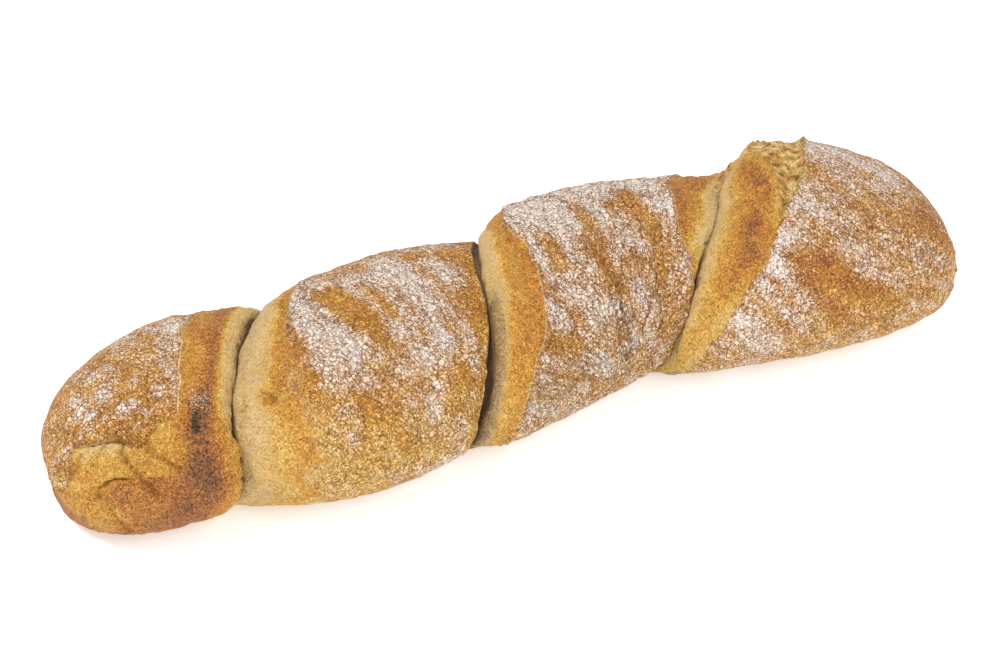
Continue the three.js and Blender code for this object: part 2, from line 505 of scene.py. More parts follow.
def crumb_share(crust, ear):
    """How much of the torn, open crumb shows: all of it in the ear, less along the torn lips
    of the creases and in a crumbly strip beside the near one."""
    share = ease(ear / 1.5 + 0.5)
    outer = by_angle(crust, (70, 0.1), (110, 0.26), (150, 0.32), (190, 0.2))
    inner = by_angle(crust, (110, 0.2), (150, 0.46), (170, 0.34))
    strip = hump(crust.near - 10.5, 3.4) * outer + hump(crust.near - 3, 3) * inner
    share = np.maximum(share, crust.in_lobe(2) * np.minimum(strip, 0.8))
    first = by_angle(crust, (78, 0.3), (95, 0.5), (128, 0.5), (145, 0.42), (170, 0.3))
    third = by_angle(crust, (185, 0), (198, 0.9), (225, 0.9), (245, 0.2))
    beyond = by_angle(crust, (188, 0), (198, 0.8), (225, 0.8), (245, 0))
    lip = hump(crust.far - 1.5, 2.6)
    share = share + lip * (crust.in_lobe(1) * first + crust.in_lobe(3) * third)
    share = share + hump(crust.near, 3.5) * crust.in_lobe(4) * beyond
    return np.clip(share, 0, 1)


def pleats(crust, on_skin, across):
    """Fine folds of the skin along the streaks: the size of a noise, with its top cut off."""
    pleat_at = drawn_out(crust, across, 0.12)
    broad = np.abs(soft_noise(pleat_at, 3.2, 6))
    fine = np.abs(soft_noise(pleat_at * [1, 1.5, 1], 1.7, 7))
    folds = 1.2 * np.minimum(broad, 0.4) + 0.5 * np.minimum(fine, 0.4) - 0.4
    return on_skin * crust.by_lobe(0, 0.6, 1, 0.35) * folds


def bare_strands(crust, points):
    """Strands of the bare dough along the creases, and wrinkles below the fold."""
    strand_at = drawn_out(crust, crust.near, 0.12)
    strands = 0.3 * soft_noise(strand_at, 1.7, 8) + 0.2 * soft_noise(points, 2.0, 16)
    wrinkles = 0.7 * soft_noise(points, 3.0, 17) + 0.5 * np.abs(soft_noise(points, 2.2, 18))
    return strands + wrinkles * bump_at(crust, -148, 140, 14, 1.2) * crust.in_lobe(1)


def pinches(crust):
    """The grooves, with their raised banks, and the lumps and dents."""
    height = np.zeros(crust.x.shape)
    for depth, width, path in GROOVES:
        gap = distance_to(crust, path)
        height -= depth * hump(gap, width)
        height += 0.3 * depth * hump(gap - 2.2 * width, width)
    for x, angle, radius, size in LUMPS:
        bump = bump_at(crust, x, angle, radius)
        height += size * (0.6 * bump + 0.4 * ease(2.6 * bump - 0.8))
    for x, angle, radius, stretch, depth in DENTS:
        height -= depth * bump_at(crust, x, angle, radius, stretch)
    return height


def torn_dough(crust, points, ear):
    """Rough crumb, the hollow of the ear with its ragged rim, and shards on the far crease."""
    rough = 0.6 * soft_noise(points, 4.2, 9) + 0.35 * soft_noise(points, 1.8, 10)
    height = crumb_share(crust, ear) * rough - 1.6 * ease(ear / 4.0 + 0.1)
    height += 1.8 * crust.in_lobe(4) * hump(crust.near - 14, 12) * hump(crust.angle - 200, 22)
    rim = hump(ear + 0.4, 0.9) * ease((crust.angle - 150) / 12)
    height += rim * (1.0 + 1.1 * soft_noise(points, 1.9, 11))
    shards = crust.in_lobe(3) * hump(crust.far - 3, 2.2)
    shards += crust.in_lobe(4) * hump(crust.near - 1.5, 1.6)
    shards *= hump(crust.angle - 208, 11)
    return height + shards * (0.8 + 2.0 * soft_noise(points, 2.0, 19))


def relief(crust, points, skin, ear, across):
    """Height of all the marks over the smooth form, in millimetres along the normal: broad and
    fine noise, a small step with a raised rim at the edge of the skin, and the marks above."""
    height = soft_noise(points, 38, 2) + 0.55 * soft_noise(points, 15, 3) - 0.5
    height += 0.34 * soft_noise(points, 6, 4) + 0.28 * soft_noise(points, 3, 5)
    on_skin = ease(skin / 1.4 + 0.5)
    height += crust.by_lobe(1, 0.3, 1, 1) * (0.5 * on_skin + 0.5 * hump(skin - 0.8, 0.7))
    height += pleats(crust, on_skin, across)
    height += (1 - on_skin) * bare_strands(crust, points)
    return height + pinches(crust) + torn_dough(crust, points, ear)


def painted_groove_shade(crust):
    """Painted shade in the bottoms of the grooves and of the small hole: 0 away from them."""
    share = 1.6 * bump_at(crust, HOLE["x"] + 0.2, HOLE["angle"], 0.9, 2.4)
    for depth, width, path in GROOVES:
        shade_in_groove = min(depth, 1.4) * hump(distance_to(crust, path), 0.7 * width)
        share = np.maximum(share, shade_in_groove)
    return share


LEANS = (
    # how far each crease's edge leans over, in millimetres, as (angle, lean) stops
    ((60, 0.8), (84, 1.6), (100, 2.2), (122, 2.2), (134, 0.5), (148, 0.0), (240, 0.0), (300, 1.0)),
    ((60, 1.0), (150, 1.0), (185, 0.6), (240, 0.6)),
    ((60, 1.6), (118, 1.2), (140, 0.4), (160, 0.0), (240, 0.0), (300, 1.0)),
)
FLAPS = (
    # angle, width and reach of the flaps of the near crease's edge
    (121, 5.0, 1.8), (106, 5.0, 1.6), (113, 2.4, -1.0), (94, 3.0, 0.8),
)


def lip_slide(crust):
    """How far the crust's edge leans out over the crease, along x: the reach times 6.75 s
    (1 - s) squared, with s for the share of the lip, so it is most a third of the way up and
    nothing at the foot and the top. Where the dough tore, the reach is ragged."""
    apart = 40.0 * crust.lobe[:, None] + np.zeros(crust.x.shape)
    edge_at = np.stack([crust.girth, crust.far * 0.3, apart], -1)
    wander = 0.5 * soft_noise(edge_at, 9, 12) + 0.3 * soft_noise(edge_at, 3.2, 13)
    ragged = soft_noise(edge_at, 1.5, 14) + 0.8 * soft_noise(edge_at, 2.8, 15)
    slide = np.zeros(crust.x.shape)
    for index, lean in enumerate(LEANS):
        share = np.clip(crust.far / LIPS[index], 0, 1)
        reach = by_angle(crust, *lean) + wander
        if index == 0:
            reach += 0.6 * ragged * hump(crust.angle - 115, 24)
            for angle, width, out in FLAPS:
                reach += out * hump(crust.angle - angle, width)
        if index == 2:
            reach += 1.6 * ragged * hump(crust.angle - 210, 12)
        slide += crust.in_lobe(index + 1) * 6.75 * share * (1 - share) ** 2 * reach
    return slide * ease((crust.from_base - 25) / 25)


normals = outward(points)
height = relief(crust, points, skin, ear, across)
above_base = ease((points[..., 2] - 1.0) / 7.0)
points = points + normals * (height * above_base)[..., None]
points[..., 0] += lip_slide(crust)
points[..., 2] = np.maximum(points[..., 2], 0)


# ---------------------------------------------------------------- flour and browning
# Bare dough is cream deep in a crease, then gold, then brown where it stood out to the oven.
# Skin is orange-brown under its flour. Both are worked out here at each point of the grid, and
# toast runs from 0 for pale dough to 1 for burnt crust.
WHITE_STREAKS = (
    # lobe, from (x, angle) to (x, angle), width and strength
    (1, -131, 220, -117, 205, 7, 0.30), (1, -126, 186, -124, 166, 3.5, 0.22),
    (1, -112, 214, -121, 196, 5, 0.25), (1, -164, 196, -156, 178, 6, 0.22),
    (1, -120, 290, -85, 250, 9, 0.30),
    (2, -70, 205, -43, 196, 6, 0.40), (2, -78, 203, -71, 196, 5, 0.32),
    (2, -72, 188, -66, 163, 5, 0.56), (2, -56, 195, -47, 168, 3, 0.38),
    (2, -38, 212, -34, 184, 5, 0.42), (2, -34, 184, -30, 150, 6, 0.42),
    (2, -24, 202, -17, 190, 3, 0.34), (2, -17, 200, -19, 184, 3, 0.24),
    (2, -41, 131, -42, 114, 3, 0.50), (2, -77, 150, -75, 132, 5, 0.30),
    (2, -66, 157, -64, 142, 5, 0.26), (2, -80, 192, -77, 160, 4, 0.34),
    (2, -83, 113, -88, 78, 5, 0.40), (2, -60, 78, -38, 66, 7, 0.22),
    (2, -38, 72, -32, 96, 6, 0.22), (2, -49, 146, -33, 137, 5, 0.26),
    (2, -22, 150, -24, 114, 2.5, 0.26), (2, -60, 300, -30, 245, 9, 0.34),
    (2, -35, 300, -5, 255, 7, 0.26),
    (3, 17, 226, 27, 200, 9, 0.46), (3, 27, 200, 32, 184, 8, 0.38),
    (3, 14, 184, 12, 165, 4, 0.40), (3, 26, 172, 30, 160, 4, 0.30),
    (3, 20, 162, 31, 136, 6, 0.26), (3, 8, 151, 11, 135, 4, 0.40),
    (3, 18, 120, 26, 99, 6, 0.38), (3, 2, 123, 3, 112, 4, 0.30),
    (3, 51, 168, 53, 162, 3, 0.44), (3, 49, 183, 48, 172, 4, 0.24),
    (3, 49, 214, 48, 188, 7, 0.42), (3, 71, 210, 73, 185, 6, 0.42),
    (3, 46, 136, 52, 112, 5, 0.30), (3, 41, 112, 45, 99, 4, 0.30),
    (3, -8, 100, 20, 62, 8, 0.26), (3, 30, 222, 70, 212, 8, 0.30),
    (3, 10, 300, 30, 250, 9, 0.34), (3, 45, 290, 80, 245, 8, 0.30),
    (4, 89, 128, 100, 147, 6, 0.44), (4, 100, 147, 112, 166, 6, 0.44),
    (4, 116, 172, 128, 158, 8, 0.36), (4, 128, 215, 160, 188, 8, 0.34),
    (4, 97, 124, 103, 110, 6, 0.32), (4, 72, 97, 90, 80, 8, 0.24),
    (4, 127, 140, 139, 118, 7, 0.22), (4, 102, 90, 110, 82, 4, 0.28),
    (4, 166, 100, 147, 60, 6, 0.24), (4, 124, 208, 150, 178, 10, 0.34),
    (4, 78, 106, 98, 92, 8, 0.38), (4, 120, 310, 150, 240, 10, 0.32),
)
BARE_STREAKS = (
    # the same, where the flour was rubbed off
    (2, -63, 194, -54, 176, 5, 0.85), (2, -26, 208, -14, 204, 5, 0.30),
    (2, -10, 206, -5, 190, 5, 0.34), (2, -67, 132, -60, 96, 7, 0.46),
    (2, -29, 145, -29, 124, 4.5, 0.46), (2, -76, 99, -66, 70, 6, 0.32),
    (2, -84, 160, -88, 120, 4, 0.25), (2, -56, 165, -52, 135, 4, 0.16),
    (2, -14, 172, -18, 150, 4, 0.34), (2, -22, 128, -26, 108, 3, 0.20),
    (2, -80, 186, -86, 150, 3, 0.20), (2, -50, 290, -20, 240, 5, 0.30),
    (3, 40, 202, 39, 182, 3.5, 0.42), (3, 52, 198, 53, 186, 3, 0.40),
    (3, 60, 198, 62, 182, 4, 0.42), (3, 63, 178, 58, 146, 3, 0.34),
    (3, 21, 181, 21, 165, 3, 0.36), (3, 4, 134, 20, 116, 4, 0.34),
    (3, 36, 168, 40, 140, 3, 0.24), (3, 58, 140, 54, 110, 4, 0.26),
    (3, 30, 290, 50, 240, 5, 0.30),
    (4, 112, 134, 119, 116, 6, 0.46), (4, 105, 124, 114, 98, 6, 0.46),
    (4, 91, 99, 104, 84, 6, 0.36), (4, 134, 164, 138, 150, 3.5, 0.24),
    (4, 159, 156, 167, 140, 7, 0.26), (4, 129, 114, 137, 99, 6, 0.24),
    (4, 140, 300, 160, 230, 6, 0.30),
)


def streaks(crust, rows):
    """Adds up soft streaks, each strongest on its middle line and only on its own lobe."""
    total = np.zeros(crust.x.shape)
    for lobe, x0, a0, x1, a1, width, strength in rows:
        gap = distance_to(crust, ((x0, a0), (x1, a1)))
        total += crust.in_lobe(lobe) * strength * hump(gap, width)
    return total


def worn_flour(crust):
    """Flour that rubbed off: on the near lobe, along two of the creases, at the far tip and
    low on the second lobe."""
    worn = crust.in_lobe(1) * (0.05 - 0.10 * ease((crust.x + 138) / 12))
    worn += 0.22 * crust.in_lobe(2) * (1 - ease((crust.far - 3.5) / 3))
    worn += 0.22 * crust.in_lobe(3) * (1 - ease((crust.far - 2.5) / 3))
    worn += 0.10 * crust.in_lobe(4) * ease((crust.x - 145) / 18)
    return worn + 0.14 * crust.in_lobe(2) * (1 - ease((crust.angle - 92) / 35))


def flour_onset(crust, points):
    """How the flour sets in from the near edge of the second lobe, whose skin tore softly."""
    start = by_angle(crust, (60, 20), (110, 23), (150, 21), (172, 16), (190, 12))
    spread = by_angle(crust, (60, 17), (130, 14), (150, 9), (172, 6), (190, 4))
    wavy = 6 * soft_noise(points, 9, 28) + 3 * soft_noise(points, 3.5, 29)
    return ease((crust.near + wavy - start) / spread)


def loose_flour(crust, skin):
    """Flour that fell on the bare dough of the near lobe and into its burnt furrow."""
    bare = crust.in_lobe(1) * (skin < 0)
    patch = bump_at(crust, -146, 92, 13, 2.0) + bump_at(crust, -128, 88, 9, 1.6)
    dusted = bare * (0.08 * np.minimum(patch, 1) + 0.75 * bump_at(crust, -120.5, 155, 6, 1.2))
    return dusted + 0.5 * crust.in_lobe(1) * bump_at(crust, -124.2, 138.5, 1.7)


def flour_cover(crust, points, skin, across):
    """Share of the crust that flour hides: patchy noise and streaks, made crisper by an S-shaped
    curve, then more on the blisters and at the foot, and little off the skin."""
    streak_at = drawn_out(crust, across, 0.3)
    cover = crust.by_lobe(0.46, 0.56, 0.56, 0.49) + 0.08 * soft_noise(streak_at, 8, 21)
    cover += 0.15 * soft_noise(streak_at, 3.2, 22)
    cover += 0.04 * soft_noise(points, 20, 23) + 0.12 * soft_noise(points, 4.2, 24)
    broken = 0.95 + 0.55 * soft_noise(streak_at, 2.8, 26) + 0.4 * soft_noise(points, 2.4, 27)
    cover += 0.72 * broken * streaks(crust, WHITE_STREAKS) - 0.9 * streaks(crust, BARE_STREAKS)
    crown = ease((crust.angle - 185) / 25) * (1 - ease((crust.angle - 235) / 40))
    cover += crown * crust.by_lobe(0, 0, 0.16, 0.18)
    crispness = crust.by_lobe(0.10, 0.30, 0.25, 0.20)
    cover += crispness * (ease((cover - 0.10) / 0.85) - cover)
    for x, angle, radius, _ in LUMPS[:FLOUR_LUMPS]:
        bump = bump_at(crust, x, angle, radius) * (1 + 0.6 * soft_noise(points, 2.2, 25))
        cover += 0.24 * ease(2.2 * bump - 0.5) - 0.08 * hump(bump - 0.22, 0.12)
    cover += 0.12 * (1 - ease((points[..., 2] - 4) / 10)) - worn_flour(crust)
    cover *= ease((skin + 0.2) / 1.2)
    faded = ease((crust.x + 150) / 8) * (1 - ease((crust.angle - 146) / 16))
    cover -= 0.30 * crust.in_lobe(1) * faded
    cover *= 1 - crust.in_lobe(2) * (1 - flour_onset(crust, points))
    return np.clip(cover + loose_flour(crust, skin), 0, 1)


NEAR_BLOTS = (
    # x, angle, radius, stretch round the loaf and how much browner, on the near lobe
    (-120, 157, 6, 1.0, 0.14), (-122, 146, 7, 1.4, 0.07), (-125, 127, 7.5, 1.6, 0.08),
    (-127, 112, 9, 1.4, 0.15), (-148, 98, 8, 1.4, -0.07), (-166, 94, 8, 2.2, 0.09),
    (-112, 200, 5, 2.2, 0.12), (-113, 184, 3.4, 2.4, -0.14), (-106.5, 182, 2.6, 2.0, 0.06),
    (-122, 96, 8, 1.4, 0.08), (-136, 84, 8, 1.2, 0.06), (-116, 198, 3, 1.2, -0.06),
    (-132, 92, 9, 1.4, 0.03), (-154, 144, 5, 1.0, -0.10), (-150, 142, 3, 1.0, -0.06),
)
FAR_BLOTS = (
    # the same on the bare band of the far lobe
    (94, 158, 4, 1.6, 0.16), (88, 142, 3.5, 1.6, 0.14), (103, 184, 4, 2.0, 0.16),
    (97, 172, 3, 1.0, 0.08), (80, 130, 3, 1.4, 0.06),
)
GOLD_PATCHES = (
    # x, angle, radius and stretch of the pale gold round the fold
    (-142, 133, 11, 1.5), (-157, 138, 13, 1.3), (-168, 100, 10, 2.4), (-162, 84, 7, 2.6),
)
BROWN_PATCH = ((-148, 104), (-138, 88), (-128, 92))
SCORCH = ((-123, 150), (-124.5, 145), (-125, 139))


def blots(crust, rows):
    """Adds up round spots that are browner or paler than the crust about them."""
    total = np.zeros(crust.x.shape)
    for x, angle, radius, stretch, amount in rows:
        total += amount * bump_at(crust, x, angle, radius, stretch)
    return total


def lowness(crust):
    """1 low on the front, where the crust stayed paler, and 0 higher up."""
    return 1 - ease((crust.angle - 90) / 45)


def bare_toast(crust, points):
    """Browning of the bare bands of the second to fourth lobes: it follows the distance from
    the crease, on the last two as a share of the band's width."""
    near = bare_widths(crust)[0]
    wavy = 0.8 * soft_noise(points, 5, 33) + 0.5 * soft_noise(points, 2.2, 34)
    from_near = np.maximum(crust.near + wavy, 0)

    sharp = np.interp(from_near, (0, 3, 7, 10, 12.6, 13.8, 20, 24),
                      (0.05, 0.08, 0.10, 0.20, 0.26, 0.50, 0.56, 0.53))
    soft = np.interp(from_near, (0, 3, 7, 12, 18, 24), (0.05, 0.08, 0.12, 0.22, 0.36, 0.44))
    high = ease((crust.angle - 118) / 25)
    toast = crust.in_lobe(2) * (sharp * high + soft * (1 - high))

    onset = by_angle(crust, (100, 5.5), (140, 6), (170, 8), (195, 8), (218, 4.5))
    share = (from_near - onset) / np.maximum(near[3] - onset, 4)
    band = np.interp(share, (-1, -0.5, -0.06, 0.06, 0.35, 0.7, 1),
                     (0.10, 0.10, 0.18, 0.42, 0.50, 0.56, 0.58))
    toast += crust.in_lobe(3) * (band - 0.14 * lowness(crust))

    share = from_near / np.maximum(near[4], 8)
    band = np.interp(share, (0, 0.08, 0.16, 0.28, 0.45, 0.62, 0.8, 1),
                     (0.12, 0.14, 0.28, 0.43, 0.56, 0.62, 0.54, 0.50))
    lower = 1 - ease((crust.angle - 102) / 38)
    band = band - 0.30 * lower * np.minimum(1.4 * share, 1)
    return toast + crust.in_lobe(4) * (band + blots(crust, FAR_BLOTS))


def near_lobe_toast(crust, points):
    """Browning of the near lobe: gold round the fold, reddish brown below and along the lip,
    burnt in one streak, and cream inside the lip."""
    wavy = 0.8 * soft_noise(points, 5, 35) + 0.4 * soft_noise(points, 2.2, 36)
    far = np.maximum(crust.far + wavy * 0.6, 0)
    top_lip = np.interp(far, (0, 3, 5.5, 7, 9, 14, 21),
                        (0.10, 0.12, 0.28, 0.58, 0.72, 0.54, 0.44))
    front_lip = np.interp(far, (0, 2, 4, 8, 12), (0.22, 0.30, 0.42, 0.58, 0.68))
    high = ease((crust.angle - 134) / 20)
    toast = top_lip * high + front_lip * (1 - high)
    gold = np.max([bump_at(crust, *patch) for patch in GOLD_PATCHES], axis=0)
    gold = ease(1.5 * gold + 0.25 * wavy)
    brown = ease((1 - distance_to(crust, BROWN_PATCH) / 13 + 0.12 * wavy) * 5)
    toast = toast - 0.27 * gold * (1 - brown) + blots(crust, NEAR_BLOTS)
    ragged = distance_to(crust, SCORCH) + 1.1 * wavy
    return toast + 0.34 * hump(ragged, 1.15) + 0.07 * hump(ragged, 5.0)


def with_far_rim(crust, points, toast):
    """Sets the browning along the far edge of the third lobe: a plain band on top, and a
    faint one in front."""
    width = np.maximum(bare_widths(crust)[1][3], 3)
    gap = crust.far + 0.6 * soft_noise(points, 4, 37) + 0.4 * soft_noise(points, 2, 38)
    plain = np.interp(gap, (0, 5, 6.5, 8.5, 12, 22), (0.10, 0.13, 0.34, 0.50, 0.64, 0.58))
    faint = np.interp(gap / width, (0, 0.3, 0.6, 1), (0.16, 0.30, 0.44, 0.46))
    upper = by_angle(crust, (140, 0), (165, 1))
    on_rim = crust.in_lobe(3) * (crust.far < width) > 0
    return np.where(on_rim, plain * upper + faint * (1 - upper), toast)


def skin_toast(crust, points, across):
    """Browning of the skin under its flour: streaky, and paler low down and at the rims."""
    streak_at = drawn_out(crust, across, 0.25)
    toast = 0.55 + 0.06 * soft_noise(streak_at, 5, 39) + 0.05 * soft_noise(streak_at, 2.4, 40)
    toast += 0.05 * soft_noise(points, 8, 41) - 0.12 * lowness(crust)
    toast -= 0.12 * (1 - ease((points[..., 2] - 3) / 14))
    toast += streaks(crust, BARE_STREAKS) * crust.by_lobe(-0.05, -0.05, -0.05, 0.25)
    toast += crust.by_lobe(-0.04, 0, 0, 0.02)
    toast -= 0.18 * crust.in_lobe(2) * hump(crust.far - 1.2, 1.3)
    pale = 0.10 + 0.22 * (1 - ease((crust.near - 22) / 18))
    return toast - crust.in_lobe(2) * pale * (1 - ease((crust.angle - 115) / 45))


def browning(crust, points, skin, ear, across):
    """toast over the whole crust, with the small hole, the ear's rim and the foot added."""
    toast = bare_toast(crust, points) + crust.in_lobe(1) * near_lobe_toast(crust, points)
    toast = with_far_rim(crust, points, toast)
    on_skin = ease(skin / 1.2 + 0.5)
    toast = toast * (1 - on_skin) + skin_toast(crust, points, across) * on_skin
    toast += 0.03 * soft_noise(points, 14, 31) + 0.05 * soft_noise(points, 5, 32)
    toast += 0.44 * bump_at(crust, HOLE["x"] - 1.4, HOLE["angle"] + 1, 2.8, 1.6)
    toast -= 0.34 * bump_at(crust, HOLE["x"] + 2.0, HOLE["angle"], 2.2, 1.6)
    toast -= 0.14 * bump_at(crust, -171, 118, 6, 1.8)
    upper = by_angle(crust, (140, 0), (165, 1))
    toast -= 0.22 * crust.in_lobe(4) * hump(ear + 1.4, 1.5) * upper
    toast -= 0.10 * (1 - ease(points[..., 2] / 9)) * (1 - on_skin)
    return np.clip(toast, 0, 1)


# grey-brown of dough pinched deep in the creases, with painted shade on their walls and a painted
# shadow in the slit
CREASE_GREY_AND_SHADE = (
    # lobe, edge, the distances it fades between, and its strength in front and behind
    (1, "far", 0.3, 4.0, 0.25, 0.25),
    (2, "near", 0.3, 5.0, 0.22, 0.22),
    (2, "far", 0.3, 1.6, 0.80, 0.80),
    (3, "near", 1.5, 11.5, 0.74, 0.39),
    (3, "far", 0.3, 3.0, 0.25, 0.25),
    (4, "near", 0.3, 5.0, 0.30, 0.30),
)


def crease_grey_and_painted_shade(crust, points):
    """Grey-brown of the dough that stayed pinched deep in a crease, and painted shade on the
    crease walls: strong in the middle one, and a nearly black painted shadow in the slit itself."""
    grey_and_painted_shade = np.zeros(crust.x.shape)
    behind = ease((crust.angle - 162) / 20)
    top = 1 - 0.5 * crust.in_lobe(3) * (crust.near < crust.far)
    top = top * hump(crust.angle - 170, 32)
    ragged = 0.35 * soft_noise(points, 2.2, 42) + 0.2 * soft_noise(points, 6, 43)
    for lobe, side, start, end, front_strength, back_strength in CREASE_GREY_AND_SHADE:
        gap = crust.near if side == "near" else crust.far
        strength = front_strength + (back_strength - front_strength) * behind
        grey_and_painted_shade += crust.in_lobe(lobe) * strength * (1 - ease((gap - start) / (end - start)))
        slit = 1 - ease((gap + ragged - 0.2) / (0.9 - 0.5 * top))
        grey_and_painted_shade += crust.in_lobe(lobe) * (1 - 0.45 * top) * slit
    return np.clip(grey_and_painted_shade, 0, 1.2) * ease((crust.from_base - 8) / 22)


def skin_rim(crust, ear):
    """How plainly the torn edge of the skin shows as a pale line."""
    rim = crust.in_lobe(1) * by_angle(crust, (150, 0), (156, 0.9), (185, 0.9), (200, 0.3))
    rim += crust.in_lobe(3) * by_angle(crust, (80, 0.1), (100, 0.4), (175, 0.5), (200, 0.2))
    rim += crust.by_lobe(0, 0.12, 0, 0.2)
    return rim * (ear < -2)


def comb_strength(crust):
    """How far the fine marks are drawn out along the streaks, and nothing near the two tips."""
    from_tip = np.minimum(crust.x - NEAR_TIP, FAR_TIP - crust.x)
    return crust.by_lobe(0.4, 0.8, 1.1, 0.5) * ease((from_tip - 4) / 22)


flour = flour_cover(crust, points, skin, across)
toast = browning(crust, points, skin, ear, across)
lobe_apart = 60.0 * crust.lobe[:, None] + np.zeros(crust.x.shape)
flow = np.stack([across, crust.girth, lobe_apart], -1)


# ---------------------------------------------------------------- mesh of the loaf
# The grid becomes one closed mesh. The marks go with it as attributes of its points, for the
# material to read.
def crust_mesh(name, points, marks):
    """One closed mesh over the grid: quads between the rows, and a fan of triangles in place
    of the first and the last row, which are single points."""
    rows, columns = points.shape[:2]
    inner = points[1:-1].reshape(-1, 3)
    vertices = np.concatenate([inner, points[0, :1], points[-1, :1]])
    index = np.arange(len(inner)).reshape(rows - 2, columns)
    after = np.roll(index, -1, 1)
    quads = np.stack([index[:-1], index[1:], after[1:], after[:-1]], -1).reshape(-1, 4)
    near_fan = np.stack([np.full(columns, len(inner)), index[0], after[0]], -1)
    far_fan = np.stack([np.full(columns, len(inner) + 1), after[-1], index[-1]], -1)
    corners = np.concatenate([quads.ravel(), near_fan.ravel(), far_fan.ravel()])
    sizes = np.concatenate([np.full(len(quads), 4), np.full(2 * columns, 3)])
    mesh = bpy.data.meshes.new(name)
    mesh.vertices.add(len(vertices))
    mesh.vertices.foreach_set("co", (vertices * MM).ravel())
    mesh.loops.add(len(corners))
    mesh.loops.foreach_set("vertex_index", corners)
    mesh.polygons.add(len(sizes))
    mesh.polygons.foreach_set("loop_start", np.concatenate([[0], np.cumsum(sizes)[:-1]]))
    mesh.update(calc_edges=True)
    mesh.shade_smooth()
    for mark, values in marks.items():
        kind = "FLOAT_VECTOR" if values.ndim == 3 else "FLOAT"
        flat = values.reshape(rows, columns, -1)
        flat = np.concatenate([flat[1:-1].reshape(-1, flat.shape[-1]), flat[0, :1], flat[-1, :1]])
        layer = mesh.attributes.new(mark, kind, "POINT")
        layer.data.foreach_set("vector" if kind == "FLOAT_VECTOR" else "value", flat.ravel())
    return mesh


# The finished surface is fitted into the box of the CAD solid, standing on the same base.
low, high = points.reshape(-1, 3).min(0), points.reshape(-1, 3).max(0)
cad_low, cad_high = (np.array(corner) / MM for corner in cad_box)
shift = 0.5 * (cad_low + cad_high - low - high) * [1, 1, 0]
fit = np.minimum((cad_high - cad_low) / (high - low), 1)
centre = 0.5 * (low + high) * [1, 1, 0]
points = (points - centre) * fit + centre + shift
marks = {
    "skin": skin,
    "flour": flour,
    "toast": toast,
    "crumb": crumb_share(crust, ear),
    # grey-brown crease bottoms with painted shade and shadow
    "dim": crease_grey_and_painted_shade(crust, points),
    "rim": skin_rim(crust, ear),
    "comb": comb_strength(crust),
    # painted shade in the grooves and the small hole
    "furrow": painted_groove_shade(crust),
    "flow": flow * MM,
}
loaf = bpy.data.objects.new("loaf_crust", crust_mesh("loaf_crust", points, marks))
bpy.context.collection.objects.link(loaf)


# ---------------------------------------------------------------- crust material
# Baked dough from cream to burnt, under a skin that is crazed into small flakes and holds the
# flour. Noise breaks up the marks from the mesh, down to single grains.
class Socket:
    """Wraps a shader socket, so that shader maths is written as Python expressions."""

    def __init__(self, made, socket):
        self.made = made
        self.socket = socket

    def math(self, operation, other=None, flip=False):
        values = [self] if other is None else [self, other]
        if flip:
            values.reverse()
        return self.made.node("ShaderNodeMath", {"operation": operation}, *values)

    def __add__(self, other):
        return self.math("ADD", other)

    def __sub__(self, other):
        return self.math("SUBTRACT", other)

    def __rsub__(self, other):
        return self.math("SUBTRACT", other, flip=True)

    def __mul__(self, other):
        return self.math("MULTIPLY", other)

    __radd__ = __add__
    __rmul__ = __mul__

    def clamp(self):
        """No less than 0 and no more than 1."""
        return self.math("MINIMUM", 1).math("MAXIMUM", 0)

    def rise(self, low, high):
        """Eases from 0 at low to 1 at high."""
        settings = {"interpolation_type": "SMOOTHSTEP"}
        return self.made.node("ShaderNodeMapRange", settings, self, low, high, 0.0, 1.0)


class Finish:
    """A material, and the one way that its nodes are made."""

    def __init__(self, name):
        self.material = bpy.data.materials.new(name)
        self.material.use_nodes = True
        self.tree = self.material.node_tree
        self.shader = self.tree.nodes["Principled BSDF"]

    def node(self, kind, settings, *values, out=0, **named):
        """Makes a node: its settings first, then the values or links of its sockets. Plain
        values go to the inputs in order, and named ones to the input of that name."""
        made = self.tree.nodes.new(kind)
        for key, value in settings.items():
            if key == "stops":
                self.set_stops(made.color_ramp, value)
            else:
                setattr(made, key, value)
        for place, value in [*enumerate(values), *named.items()]:
            self.feed(made.inputs[place], value)
        return Socket(self, made.outputs[out])

    def feed(self, target, value):
        if isinstance(value, Socket):
            self.tree.links.new(value.socket, target)
        else:
            target.default_value = value

    def set_stops(self, ramp, stops):
        while len(ramp.elements) < len(stops):
            ramp.elements.new(1)
        for element, (place, colour) in zip(ramp.elements, stops):
            element.position = place
            element.color = (*colour, 1)

    def attribute(self, name, vector=False):
        """A value, or a vector, that the mesh holds at each of its points."""
        return self.node("ShaderNodeAttribute", {"attribute_name": name}, out=1 if vector else 2)

    def vector_math(self, operation, *values, **named):
        return self.node("ShaderNodeVectorMath", {"operation": operation}, *values, **named)

    def noise(self, vector, size, detail=2.0, rough=0.5, colour=False):
        """Noise whose blotches are about the given size in metres, between 0 and 1."""
        return self.node("ShaderNodeTexNoise", {}, Vector=vector, Scale=1 / size,
                         Detail=detail, Roughness=rough, out=int(colour))

    def spread_noise(self, vector, size, detail, rough, gain):
        """Blender's noise keeps close to its middle, so it is widened to about -1 to 1."""
        return (self.noise(vector, size, detail, rough) - 0.5) * gain

    def lines(self, vector, size, detail, width):
        """1 along thin wandering lines, where the noise passes its middle."""
        off_middle = (self.noise(vector, size, detail) - 0.5).math("ABSOLUTE")
        return 1 - off_middle.rise(0.004, width)

    def mix_colours(self, share, first, second):
        """Colour between two colours."""
        made = self.tree.nodes.new("ShaderNodeMix")
        made.data_type = "RGBA"
        for place, value in ((0, share), (6, first), (7, second)):
            self.feed(made.inputs[place], value)
        return Socket(self, made.outputs[2])


